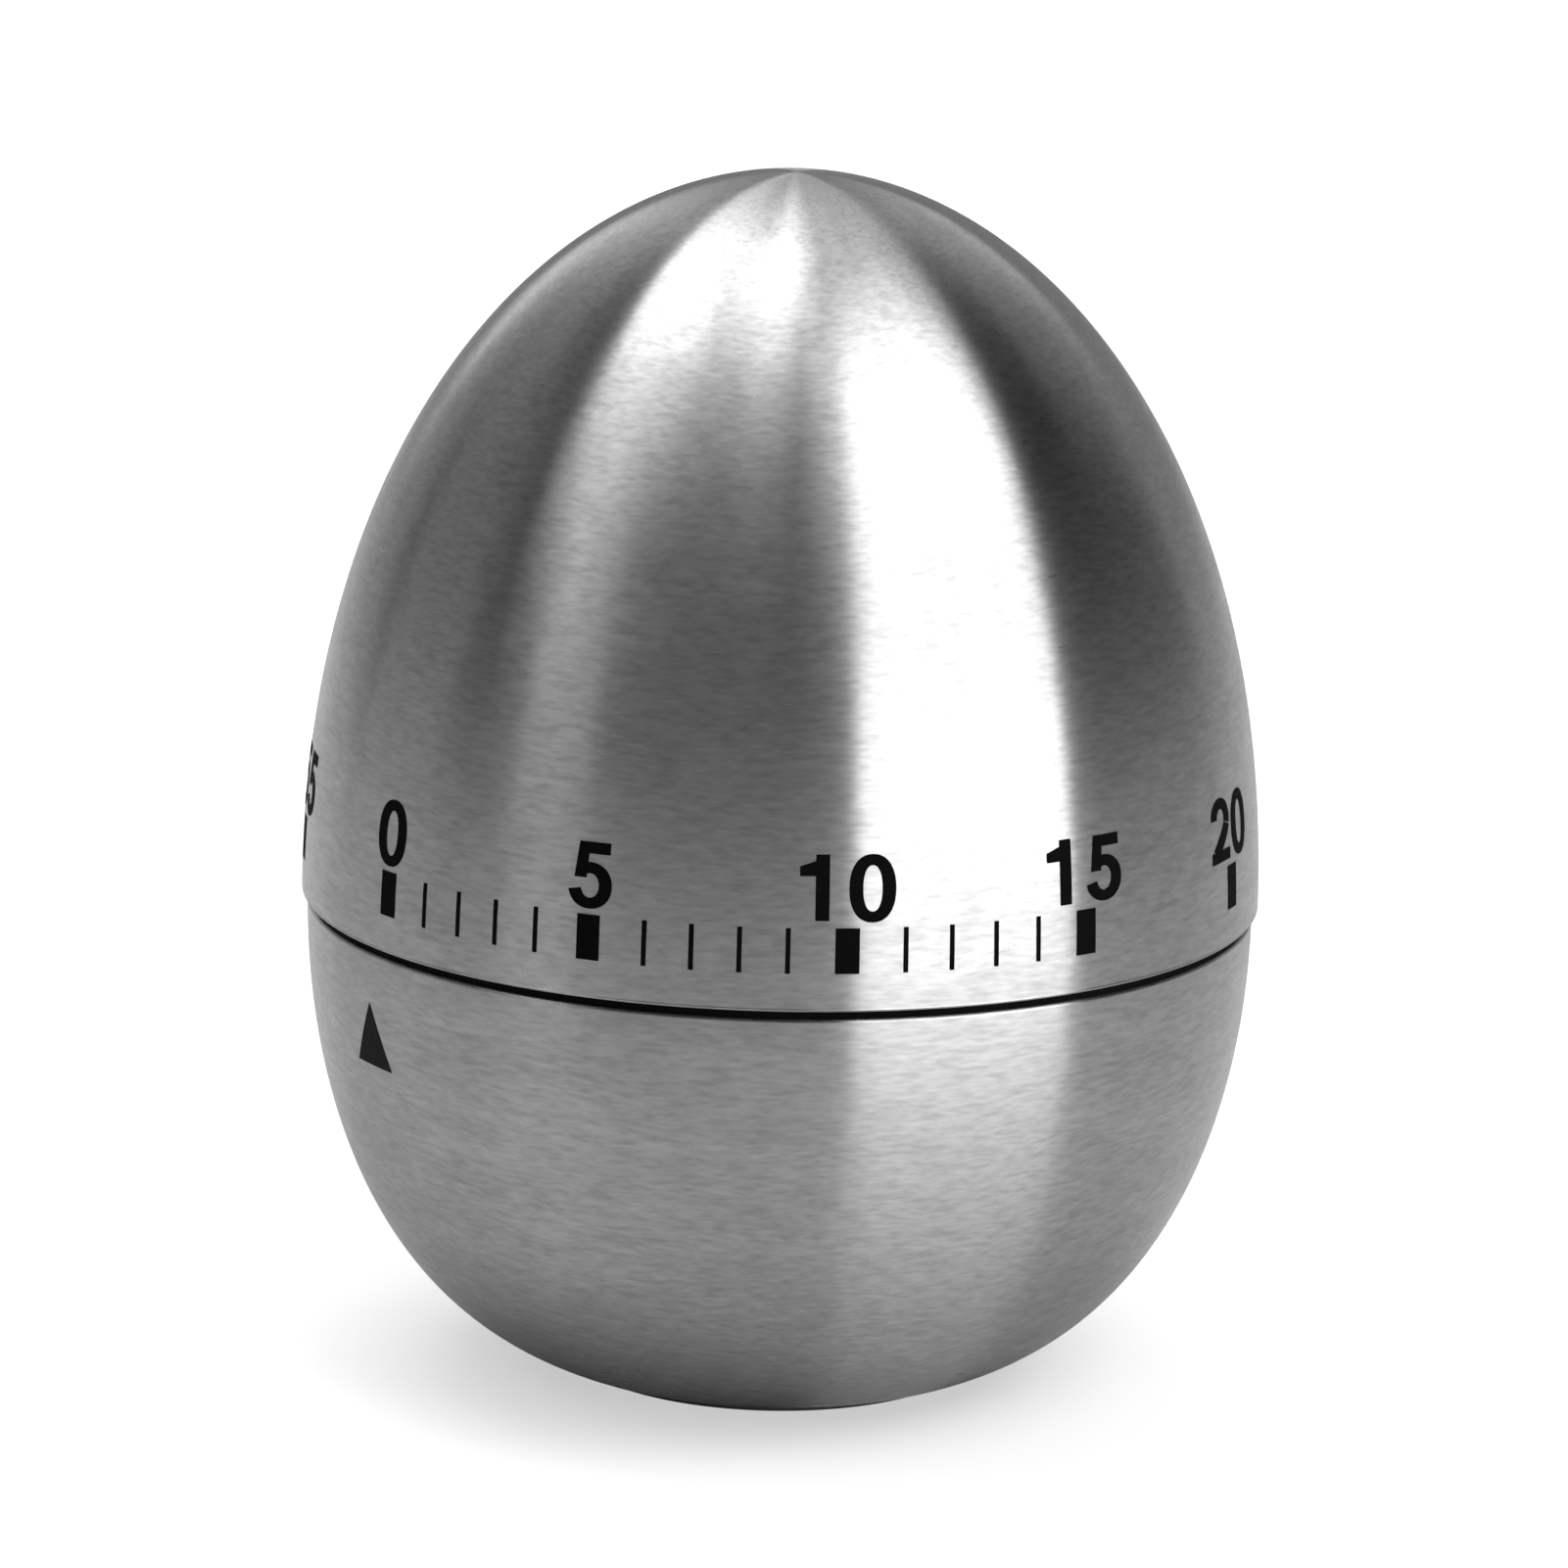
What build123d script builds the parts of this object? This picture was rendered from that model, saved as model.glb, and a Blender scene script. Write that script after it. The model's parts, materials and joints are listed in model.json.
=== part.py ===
from build123d import *
import math
import os

# Mechanical kitchen timer, egg shaped, with a brushed steel skin. Millimetres, +Z up.
# The origin is the middle of the base, on the surface that the timer stands on.
# The pointer mark of the lower half faces -Y.

# ---- outer form ----
MAX_RADIUS = 30.0  # outer radius of the turning upper half, at its lower edge
HEIGHT = 75.7  # whole height, base to tip
WAIST_Z = 29.8  # height at which the egg is widest
LOWER_RADIUS = 29.64  # the lower half is a little narrower than the upper
BASE_DROP = 0.97  # the lower curve would close this far below the base
UPPER_POWERS = (2.13, 1.99)  # superellipse powers of the upper curve, height and radius
LOWER_POWERS = (2.06, 3.08)  # the same for the lower curve
SKIN = 0.5  # steel sheet
UPPER_EDGE_Z = 30.2
LOWER_EDGE_Z = 29.65
BASE_OPENING = 14.2  # radius of the opening under the lower shell
LOWER_SHELL_Z = 0.9

# ---- plastic housing and base ----
WALL = 1.2
HOUSING_FLOOR = (2.4, 3.6)
FLANGE = (29.4, 30.1)  # radius, and top height of the rim that shows between the shells
COLLAR = (27.9, 29.15, 32.2)  # inner radius, outer radius, top height
FOOT = (9.5, 12.8, 0.9)  # rubber ring: inner radius, outer radius, top height
BASE_Z = 0.4
BASE_SCREW_RADIUS = 7.5
SOUND_HOLES = (6, 1.1, 4.2)  # count, radius, distance from the middle
BASE_SCREW_HEAD = (1.5, 0.7, 1.5)  # radius, then the heights of its face and its back
BASE_SCREW_SHANK = (0.9, 5.4)  # radius, and the height of its end
BOSS = (2.2, 5.6)  # radius, and top height of the boss that each base screw goes into
STANDOFF_RADIUS = 20.5
STANDOFF_ANGLES = (100, 190, 340)
STANDOFF = (2.4, 0.9, 7.8)  # radius, screw hole radius, height of the hole's bottom

# ---- dial liner, under the upper shell ----
LINER_WALL = 1.0
LINER_Z = (33.0, 58.0)
LINER_WEB_Z = (34.0, 35.4)
LINER_HUB = (4.5, 28.5)  # radius, and height of its lower end
RIB_COUNT = 6
RIB = (26.0, 1.0, 6.4)  # length, thickness, height
RIB_PLACE = (17.0, 38.4)  # distance from the axis, height of its middle
STOP_FIN = (2.4, 0.9, 6.4)  # the fin that meets the stop post
STOP_FIN_Z = 31.0

# ---- movement frame ----
PLATE_RADIUS = 23.0
BOTTOM_PLATE = (13.0, 14.0)
TOP_PLATE = (25.0, 26.0)
PILLAR_PLACES = ((20.0, 50), (20.0, 160), (21.0, 260))
PILLAR_RADIUS = 1.6
PIVOT = 0.35
PIVOT_PLAY = 0.04  # radial running clearance of every bearing
ARBOR = 0.6
ARBOR_Z = (14.12, 24.88)
PIVOT_INSET = 0.1  # how far a pivot stops short of the plate's outer face
TAPPED_HOLE = 0.8  # radius of each tapped hole and screw shank in the pillars
WINDOW_PLACES = (20, 110, 135)  # angles of the round windows in the top plate
WINDOW = (3.5, 13.0)  # radius, distance from the main axis

# ---- spring barrel ----
DRUM = (9.5, 9.9, 18.4)  # inner radius, outer radius, top height
DRUM_FLOOR = 0.4
DRUM_HOLE = 3.0
MAINSPRING_TURNS = 8
MAINSPRING_STRIP = 0.22
MAINSPRING_RADII = (3.2, 9.25)
MAINSPRING_Z = (14.6, 18.1)

# ---- main arbor ----
MAIN_JOURNAL = 1.2
MAIN_ROD = 2.0
MAIN_SHOULDER = (3.4, 20.8, 21.5)  # radius, low and high
MAIN_BEARING = (2.5, 24.85, 26.2)  # radius, low and high
D_FLAT = 1.6  # distance from the axis to the flat of the D shaft
D_SHAFT_TOP = 35.4

# ---- gear train: teeth of the wheel, teeth of the pinion, module ----
PRESSURE_ANGLE = math.radians(25)
BACKLASH = 0.12
MAIN_PAIR = (60, 10, 0.40)
SECOND_PAIR = (48, 8, 0.32)
THIRD_PAIR = (48, 8, 0.30)
FOURTH_PAIR = (24, 8, 0.36)
SECOND_ANGLE = 200
THIRD_RADIUS = 14.5
FOURTH_RADIUS = 15.0
ESCAPE_RADIUS = 16.0
PALLET_RADIUS = 16.0

# ---- low and high faces of what turns between the plates ----
MAIN_WHEEL_Z = (20.0, 20.8)
SECOND_PINION_Z = (19.4, 21.4)
SECOND_WHEEL_Z = (22.0, 22.5)
THIRD_PINION_Z = (21.6, 22.9)
THIRD_WHEEL_Z = (23.3, 23.8)
FOURTH_PINION_Z = (23.0, 24.1)
FOURTH_WHEEL_Z = (17.5, 18.0)
ESCAPE_PINION_Z = (17.1, 18.4)
ESCAPE_WHEEL_Z = (15.4, 15.9)
LEVER_Z = (16.2, 16.8)
BALANCE_Z = (18.5, 19.5)
COLLAR_Z = (18.6, 19.3)
CAM_Z = (24.15, 24.75)
RELEASE_ARM_Z = (24.2, 24.7)
STAR_Z = (16.0, 16.6)

# ---- escapement ----
ESCAPE_TEETH = 15
ESCAPE_TIP = 4.8
ESCAPE_ROOT = 3.3
PIN_RADIUS = 0.2
PIN_ORBIT = 5.15  # distance from the escape wheel's centre to each pin at mid swing
PIN_SPAN = 42  # half angle between the pins, seen from the escape wheel
PIN_LOW = 15.2
BALANCE_RINGS = ((0.6, 1.4), (2.9, 3.8))  # inner and outer radius of its hub and its rim

# ---- stop, alarm ----
STOP_RADIUS = 20.0
STOP_ANGLE = 90
STOP_POST = (0.5, 30.5)  # radius, top height
HAMMER_PLACE = (21.2, 219)
HAMMER_SWING = 5
CAM = (2.8, 4.6)  # notch floor radius, rim radius
CAM_REACH = 4.8  # beak tip to the main axis when lifted
CAM_OFFSET = 7.2  # release arm line to the main axis when lifted
STAR_TEETH = 10
STAR = (2.4, 3.6)
STAR_REACH = 3.8
STAR_OFFSET = 5.4
BELL_RADIUS = 17.0
BELL_WALL = 0.7
BELL_CROWN_Z = (6.6, 7.3)
BELL_RIM_Z = 11.8
HEAD_RADIUS = 1.5
HEAD_ARM = 7.0
HEAD_TOP = 11.7
HAMMER_ARM_Z = (9.6, 10.3)
HAMMER_HUB = 1.7
HAMMER_ROD = 0.8


# ---- helpers ----
def polar(radius, degrees):
    angle = math.radians(degrees)
    return (radius * math.cos(angle), radius * math.sin(angle))


def heading(start, end):
    return math.degrees(math.atan2(end[1] - start[1], end[0] - start[0]))


def step_from(start, distance, degrees):
    offset = polar(distance, degrees)
    return (start[0] + offset[0], start[1] + offset[1])


def next_arbor(previous, distance, radius):
    """The point at this radius that lies this far round, anticlockwise, from the previous arbor."""
    before = math.hypot(*previous)
    turn = math.acos((before**2 + radius**2 - distance**2) / (2 * before * radius))
    return polar(radius, heading((0, 0), previous) + math.degrees(turn))


def centre_distance(pair):
    return pair[2] * (pair[0] + pair[1]) / 2


def disc(radius, low, high, place=(0, 0)):
    return Pos(place[0], place[1], (low + high) / 2) * Cylinder(radius, high - low)


def ring(inner, outer, low, high, place=(0, 0)):
    return disc(outer, low, high, place) - disc(inner, low - 1, high + 1, place)


def plate_shape(points, low, high):
    """A flat piece with this outline between two heights."""
    face = make_face([Polyline(*points, close=True)])
    return Pos(0, 0, low) * extrude(face, amount=high - low)


def bar(start, end, width, low, high):
    """A straight bar between two points, seen from above."""
    length = math.dist(start, end)
    middle = ((start[0] + end[0]) / 2, (start[1] + end[1]) / 2, (low + high) / 2)
    return Pos(*middle) * Rot(0, 0, heading(start, end)) * Box(length, width, high - low)


def turned(points):
    """A solid of revolution about Z from a closed outline of (radius, height)."""
    return revolve(Plane.XZ * make_face([Polyline(*points, close=True)]), Axis.Z)


# ---- the egg ----
def upper_point(share):
    turn = share * math.pi / 2
    height = math.sin(turn) ** (2 / UPPER_POWERS[0])
    radius = max(math.cos(turn), 0) ** (2 / UPPER_POWERS[1])
    return (MAX_RADIUS * radius, WAIST_Z + (HEIGHT - WAIST_Z) * height)


def lower_point(share):
    """From the waist, share 0, down to just under the base, share 1."""
    z = WAIST_Z * (1 - share)
    drop = (WAIST_Z - z) / (WAIST_Z + BASE_DROP)
    return (LOWER_RADIUS * (1 - drop ** LOWER_POWERS[0]) ** (1 / LOWER_POWERS[1]), z)


def inset_point(point, share, inset, side):
    """The point of the curve, moved inwards square to it. side is 1 above the waist and -1 below."""
    radius, z = point(share)
    if share in (0, 1) and side > 0:
        return (max(radius - inset, 0), z) if share == 0 else (0, z - inset)
    if share == 0:
        return (radius - inset, z)
    before = point(share - 0.001)
    after = point(min(share + 0.001, 1))
    along = (after[0] - before[0], after[1] - before[1])
    size = math.hypot(*along)
    return (radius - side * inset * along[1] / size, z + side * inset * along[0] / size)


def upper_body(inset):
    """The solid egg above the waist, smaller all round by the inset."""
    shares = [0, 0.1, 0.2, 0.3, 0.4, 0.5, 0.6, 0.7, 0.8, 0.9, 1]
    points = [inset_point(upper_point, share, inset, 1) for share in shares]
    curve = Spline(*points, tangents=[(0, 1), (-1, 0)])
    rest = Polyline((0, HEIGHT - inset), (0, WAIST_Z), (MAX_RADIUS - inset, WAIST_Z))
    return revolve(Plane.XZ * make_face([curve, rest]), Axis.Z)


def lower_body(inset):
    """The solid egg below the waist, smaller all round by the inset."""
    shares = [0, 0.12, 0.25, 0.4, 0.53, 0.65, 0.75, 0.83, 0.9, 0.95, 0.99]
    points = [inset_point(lower_point, share, inset, -1) for share in shares]
    curve = Spline(*points)
    low = points[-1][1]
    rest = Polyline(points[-1], (0, low), (0, WAIST_Z), points[0])
    return revolve(Plane.XZ * make_face([curve, rest]), Axis.Z)


def upper_shell():
    sheet = upper_body(0) - upper_body(SKIN)
    return sheet & disc(40, UPPER_EDGE_Z, HEIGHT + 1)


def lower_shell():
    sheet = lower_body(0) - lower_body(SKIN)
    sheet &= disc(40, LOWER_SHELL_Z, LOWER_EDGE_Z)
    return sheet - disc(BASE_OPENING, 0, 3)


# ---- plastic parts ----
def screw_places():
    return [polar(BASE_SCREW_RADIUS, angle) for angle in (0, 180)]


def sound_holes(low, high):
    count, radius, reach = SOUND_HOLES
    return [disc(radius, low, high, polar(reach, 30 + 360 * n / count)) for n in range(count)]


def housing():
    outside = lower_body(SKIN)
    cavity = lower_body(SKIN + WALL) & disc(40, HOUSING_FLOOR[1], WAIST_Z)
    cup = (outside & disc(40, HOUSING_FLOOR[0], LOWER_EDGE_Z)) - cavity
    cup += disc(FLANGE[0], LOWER_EDGE_Z, FLANGE[1])
    cup += disc(COLLAR[1], FLANGE[1], COLLAR[2])
    cup -= disc(COLLAR[0], LOWER_EDGE_Z - 1, COLLAR[2] + 1)
    for angle in STANDOFF_ANGLES:
        post = disc(STANDOFF[0], HOUSING_FLOOR[1], BOTTOM_PLATE[0], polar(STANDOFF_RADIUS, angle))
        cup += post & outside
    for place in screw_places():
        cup += disc(BOSS[0], HOUSING_FLOOR[0], BOSS[1], place)
    for place in screw_places():
        cup -= disc(BASE_SCREW_SHANK[0], 0, BOSS[1] + 1, place)
    for angle in STANDOFF_ANGLES:
        cup -= disc(STANDOFF[1], STANDOFF[2], BOTTOM_PLATE[0] + 1, polar(STANDOFF_RADIUS, angle))
    return cup - sound_holes(0, 5)


def base_plate():
    plate = lower_body(0) & disc(40, BASE_Z, LOWER_SHELL_Z)
    plate += disc(BASE_OPENING - 0.05, LOWER_SHELL_Z, HOUSING_FLOOR[0])
    plate -= ring(FOOT[0], FOOT[1], 0, FOOT[2])
    for place in screw_places():
        plate -= disc(1.8, 0, 1.5, place)
        plate -= disc(1.0, 0, 3, place)
    return plate - sound_holes(0, 3)


def foot_ring():
    return ring(FOOT[0], FOOT[1], 0, FOOT[2])


def base_screws():
    radius, face, back = BASE_SCREW_HEAD
    return [screw(place, radius, face, back, *BASE_SCREW_SHANK) for place in screw_places()]


def screw(place, head_radius, face, back, shank_radius, end):
    """A plain slotted screw: its head lies between face and back, and its shank runs from back to end."""
    head = disc(head_radius, min(face, back), max(face, back), place)
    shank = disc(shank_radius, min(back, end), max(back, end), place)
    slot = Pos(place[0], place[1], face) * Box(3 * head_radius, 0.4, 0.7)
    return head + shank - slot


def dial_liner():
    inside = upper_body(SKIN)
    cup = (inside - upper_body(SKIN + LINER_WALL)) & disc(40, *LINER_Z)
    cup += inside & disc(40, *LINER_WEB_Z)
    cup += disc(LINER_HUB[0], LINER_HUB[1], LINER_WEB_Z[1])
    for turn in range(RIB_COUNT):
        rib = Rot(0, 0, 360 / RIB_COUNT * turn) * Pos(RIB_PLACE[0], 0, RIB_PLACE[1]) * Box(*RIB)
        cup += rib & inside
    fin_angle = STOP_ANGLE - 3
    cup += Pos(*polar(STOP_RADIUS, fin_angle), STOP_FIN_Z) * Rot(0, 0, fin_angle) * Box(*STOP_FIN)
    return cup - d_shaft(LINER_HUB[1] - 1, LINER_WEB_Z[1] + 1)


# ---- movement frame ----
MAIN = (0.0, 0.0)
SECOND = polar(centre_distance(MAIN_PAIR), SECOND_ANGLE)
THIRD = next_arbor(SECOND, centre_distance(SECOND_PAIR), THIRD_RADIUS)
FOURTH = next_arbor(THIRD, centre_distance(THIRD_PAIR), FOURTH_RADIUS)
ESCAPE = next_arbor(FOURTH, centre_distance(FOURTH_PAIR), ESCAPE_RADIUS)
PALLET_DISTANCE = PIN_ORBIT / math.cos(math.radians(PIN_SPAN))
PALLET = next_arbor(ESCAPE, PALLET_DISTANCE, PALLET_RADIUS)
HAMMER = polar(*HAMMER_PLACE)
PIVOTED = (SECOND, THIRD, FOURTH, ESCAPE, PALLET)


def bottom_plate():
    low, high = BOTTOM_PLATE
    plate = disc(PLATE_RADIUS, low, high)
    plate -= disc(MAIN_JOURNAL + PIVOT_PLAY, low - 1, high + 1)
    plate -= disc(HAMMER_ROD + PIVOT_PLAY, low - 1, high + 1, HAMMER)
    plate -= [disc(PIVOT + PIVOT_PLAY, low - 1, high + 1, place) for place in PIVOTED]
    plate -= [disc(TAPPED_HOLE, low - 1, high + 1, polar(*place)) for place in PILLAR_PLACES]
    for angle in STANDOFF_ANGLES:
        plate -= disc(1.0, low - 1, high + 1, polar(STANDOFF_RADIUS, angle))
    return plate


def top_plate():
    low, high = TOP_PLATE
    plate = disc(PLATE_RADIUS, low, high)
    plate -= disc(MAIN_BEARING[0] + PIVOT_PLAY, low - 1, high + 1)
    plate -= [disc(PIVOT + PIVOT_PLAY, low - 1, high + 1, place) for place in PIVOTED + (HAMMER,)]
    plate -= [disc(TAPPED_HOLE, low - 1, high + 1, polar(*place)) for place in PILLAR_PLACES]
    plate -= disc(STOP_POST[0], low - 1, high + 1, polar(STOP_RADIUS, STOP_ANGLE))
    for angle in WINDOW_PLACES:
        plate -= disc(WINDOW[0], low - 1, high + 1, polar(WINDOW[1], angle))
    return plate


def pillars():
    group = []
    for place in PILLAR_PLACES:
        pillar = disc(PILLAR_RADIUS, BOTTOM_PLATE[1], TOP_PLATE[0], polar(*place))
        pillar -= disc(TAPPED_HOLE, BOTTOM_PLATE[1], BOTTOM_PLATE[1] + 3, polar(*place))
        group.append(pillar - disc(TAPPED_HOLE, TOP_PLATE[0] - 3, TOP_PLATE[0], polar(*place)))
    return group


def pillar_screws():
    group = []
    top = TOP_PLATE[1]
    low = BOTTOM_PLATE[0]
    for place in PILLAR_PLACES:
        group.append(screw(polar(*place), 1.5, top + 1, top, TAPPED_HOLE, top - 4))
        group.append(screw(polar(*place), 1.5, low - 1, low, TAPPED_HOLE, low + 4))
    return group


def movement_screws():
    top = BOTTOM_PLATE[1]
    places = [polar(STANDOFF_RADIUS, angle) for angle in STANDOFF_ANGLES]
    return [screw(place, 1.7, top + 1.1, top, STANDOFF[1], STANDOFF[2] + 0.2) for place in places]


def spring_barrel():
    low = BOTTOM_PLATE[1]
    drum = disc(DRUM[1], low, DRUM[2]) - disc(DRUM[0], low + DRUM_FLOOR, DRUM[2] + 1)
    return drum - disc(DRUM_HOLE, low - 1, low + 1)


def mainspring():
    """A spiral strip in its run-down state, with its outer end against the drum."""
    steps = 28 * MAINSPRING_TURNS
    start, end = MAINSPRING_RADII
    outer = []
    inner = []
    for n in range(steps + 1):
        share = n / steps
        radius = start + (end - start) * share
        angle = 360 * MAINSPRING_TURNS * share
        outer.append(polar(radius + MAINSPRING_STRIP, angle))
        inner.append(polar(radius, angle))
    return plate_shape(outer + inner[::-1], *MAINSPRING_Z)


def stop_post():
    return disc(STOP_POST[0], TOP_PLATE[0], STOP_POST[1], polar(STOP_RADIUS, STOP_ANGLE))


# ---- bell ----
def bell():
    low, high = BELL_CROWN_Z
    lip = BELL_RADIUS - BELL_WALL
    outside = [(5, low), (9.5, 6.9), (13.2, 8.0), (15.9, 9.7), (BELL_RADIUS, BELL_RIM_Z)]
    inside = [(lip, BELL_RIM_Z), (15.3, 10.2), (12.9, 8.7), (9.4, 7.6), (5, high)]
    edge = Spline(*outside, tangents=[(1, 0), (0.25, 1)])
    back = Spline(*inside, tangents=[(-0.25, -1), (-1, 0)])
    rest = Polyline((5, high), (1.0, high), (1.0, low), (5, low))
    face = make_face([edge, Line(outside[-1], inside[0]), back, rest])
    return revolve(Plane.XZ * face, Axis.Z)


def bell_post():
    post = disc(2.2, BELL_CROWN_Z[1], 12.2) + disc(4.0, 12.2, BOTTOM_PLATE[0])
    return post - disc(1.0, BELL_CROWN_Z[1] - 1, 10.5)


def bell_screw():
    return screw((0, 0), 2.2, BELL_CROWN_Z[0] - 1, BELL_CROWN_Z[0], 1.0, 10.4)


# ---- gears ----
def involute(angle):
    return math.tan(angle) - angle


def gear_outline(teeth, module, addendum, dedendum, place, tooth_at):
    """The outline of a spur gear, with the middle of one tooth at the angle tooth_at."""
    pitch = module * teeth / 2
    base = pitch * math.cos(PRESSURE_ANGLE)
    root = pitch - dedendum * module
    tip = pitch + addendum * module
    radii = [root, max(root, base) + 0.001, pitch, (pitch + tip) / 2, tip]
    half = math.pi / (2 * teeth) - BACKLASH * module / pitch
    flank = []
    for radius in radii:
        bend = involute(math.acos(min(base / radius, 1)))
        flank.append((radius, math.degrees(half + involute(PRESSURE_ANGLE) - bend)))
    points = []
    for n in range(teeth):
        middle = tooth_at + 360 * n / teeth
        points += [step_from(place, radius, middle - side) for radius, side in flank]
        points += [step_from(place, radius, middle + side) for radius, side in flank[::-1]]
    return points


def wheel(pair, place, target, low, high, bore):
    """The large gear of a pair, with a tooth pointing at the arbor that it drives."""
    teeth, _, module = pair
    outline = gear_outline(teeth, module, 0.7, 1.15, place, heading(place, target))
    return plate_shape(outline, low, high) - disc(bore, low - 1, high + 1, place)


def pinion(pair, place, driver, low, high):
    """The small gear of a pair, with a gap facing the wheel that drives it."""
    _, teeth, module = pair
    outline = gear_outline(teeth, module, 0.9, 0.95, place, heading(place, driver) + 180 / teeth)
    return plate_shape(outline, low, high)


def arbor(place, extra=None):
    low, high = ARBOR_Z
    pin = disc(ARBOR, low, high, place)
    pin += disc(PIVOT, BOTTOM_PLATE[0] + PIVOT_INSET, TOP_PLATE[1] - PIVOT_INSET, place)
    return pin + extra if extra else pin


def spoked(gear, place, inner, outer):
    """Three round windows between hub and rim."""
    middle = (inner + outer) / 2
    size = (outer - inner) / 2
    low = gear.bounding_box().min.Z - 1
    high = gear.bounding_box().max.Z + 1
    for n in range(3):
        gear -= disc(size, low, high, step_from(place, middle, 30 + 120 * n))
    return gear


# ---- turning dial assembly ----
def d_shaft(low, high):
    flat = Pos(D_FLAT + 1, 0, (low + high) / 2) * Box(2.0, 6, high - low)
    return disc(MAIN_ROD, low, high) - flat


def main_arbor():
    step = BOTTOM_PLATE[1] + 0.2
    rod = disc(MAIN_JOURNAL, BOTTOM_PLATE[0] + PIVOT_INSET, step)
    rod += disc(MAIN_ROD, step, MAIN_BEARING[1])
    rod += disc(*MAIN_SHOULDER)
    rod += disc(*MAIN_BEARING)
    return rod + d_shaft(MAIN_BEARING[2], D_SHAFT_TOP)


def main_wheel():
    gear = wheel(MAIN_PAIR, MAIN, SECOND, *MAIN_WHEEL_Z, MAIN_ROD)
    return spoked(gear, MAIN, 4.4, 10.2)


def clutch_spring():
    """A dished washer with three fingers that press up on the main wheel."""
    low = COLLAR_Z[1]
    high = MAIN_WHEEL_Z[0]
    under = [(MAIN_ROD, low), (2.9, low), (6.0, high - 0.2), (6.6, high - 0.2)]
    over = [(6.6, high), (5.9, high), (2.8, low + 0.2), (MAIN_ROD, low + 0.2)]
    dish = turned(under + over)
    for n in range(3):
        dish -= Rot(0, 0, 120 * n) * Pos(6.2, 0, 19.6) * Box(5, 5.5, 2)
    return dish


def clutch_collar():
    return ring(MAIN_ROD, 3.2, *COLLAR_Z)


def release_cam():
    plate = ring(MAIN_ROD, CAM[1], *CAM_Z)
    middle = math.degrees(math.acos(CAM_OFFSET / HAMMER_PLACE[0])) + HAMMER_PLACE[1] - 3
    corners = [polar(7, middle - 20), polar(7, middle + 20)]
    notch = plate_shape([(0, 0)] + corners, CAM_Z[0] - 0.1, CAM_Z[1] + 0.1) - disc(CAM[0], 23, 26)
    return plate - notch


# ---- train ----
def second_arbor():
    return arbor(SECOND, pinion(MAIN_PAIR, SECOND, MAIN, *SECOND_PINION_Z))


def second_wheel():
    gear = wheel(SECOND_PAIR, SECOND, THIRD, *SECOND_WHEEL_Z, ARBOR)
    return spoked(gear, SECOND, 2.2, 6.4)


def third_arbor():
    return arbor(THIRD, pinion(SECOND_PAIR, THIRD, SECOND, *THIRD_PINION_Z))


def third_wheel():
    gear = wheel(THIRD_PAIR, THIRD, FOURTH, *THIRD_WHEEL_Z, ARBOR)
    return spoked(gear, THIRD, 2.0, 6.0)


def fourth_arbor():
    return arbor(FOURTH, pinion(THIRD_PAIR, FOURTH, THIRD, *FOURTH_PINION_Z))


def fourth_wheel():
    return wheel(FOURTH_PAIR, FOURTH, ESCAPE, *FOURTH_WHEEL_Z, ARBOR)


def escape_arbor():
    return arbor(ESCAPE, pinion(FOURTH_PAIR, ESCAPE, FOURTH, *ESCAPE_PINION_Z))


def escape_wheel():
    """Pointed teeth, set so that each pallet pin is a quarter of a pitch from a tooth."""
    pitch = 360 / ESCAPE_TEETH
    start = heading(ESCAPE, PALLET) + PIN_SPAN + pitch / 4
    points = []
    for n in range(ESCAPE_TEETH):
        middle = start + pitch * n
        for radius, side in ((ESCAPE_ROOT, -7), (ESCAPE_TIP, -1), (ESCAPE_TIP, 1), (ESCAPE_ROOT, 5)):
            points.append(step_from(ESCAPE, radius, middle + side))
    return plate_shape(points, *ESCAPE_WHEEL_Z) - disc(ARBOR, 15, 16, ESCAPE)


# ---- pallets ----
def pin_places():
    line = heading(ESCAPE, PALLET)
    return [step_from(ESCAPE, PIN_ORBIT, line + side) for side in (-PIN_SPAN, PIN_SPAN)]


def pallet_arbor():
    return arbor(PALLET)


def pallet_lever():
    lever = disc(1.5, *LEVER_Z, PALLET)
    for place in pin_places():
        lever += bar(PALLET, place, 0.9, *LEVER_Z)
        lever += disc(0.55, *LEVER_Z, place)
    lever -= disc(ARBOR, 16, 17, PALLET)
    return lever - [disc(PIN_RADIUS, 16, 17, place) for place in pin_places()]


def pallet_pins():
    return [disc(PIN_RADIUS, PIN_LOW, LEVER_Z[1], place) for place in pin_places()]


def balance_weight():
    """A hub and a rim, joined by two spokes."""
    hub, rim = BALANCE_RINGS
    weight = ring(*hub, *BALANCE_Z, PALLET) + ring(*rim, *BALANCE_Z, PALLET)
    line = heading(ESCAPE, PALLET)
    for side in (90, -90):
        start = step_from(PALLET, hub[1] - 0.2, line + side)
        end = step_from(PALLET, rim[0] + 0.2, line + side)
        weight += bar(start, end, 1.0, *BALANCE_Z)
    return weight


# ---- hammer ----
def hammer_arbor():
    rod = disc(HAMMER_ROD, HAMMER_ARM_Z[0] - 0.3, ARBOR_Z[1], HAMMER)
    return rod + disc(PIVOT, ARBOR_Z[1], TOP_PLATE[1] - PIVOT_INSET, HAMMER)


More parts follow.
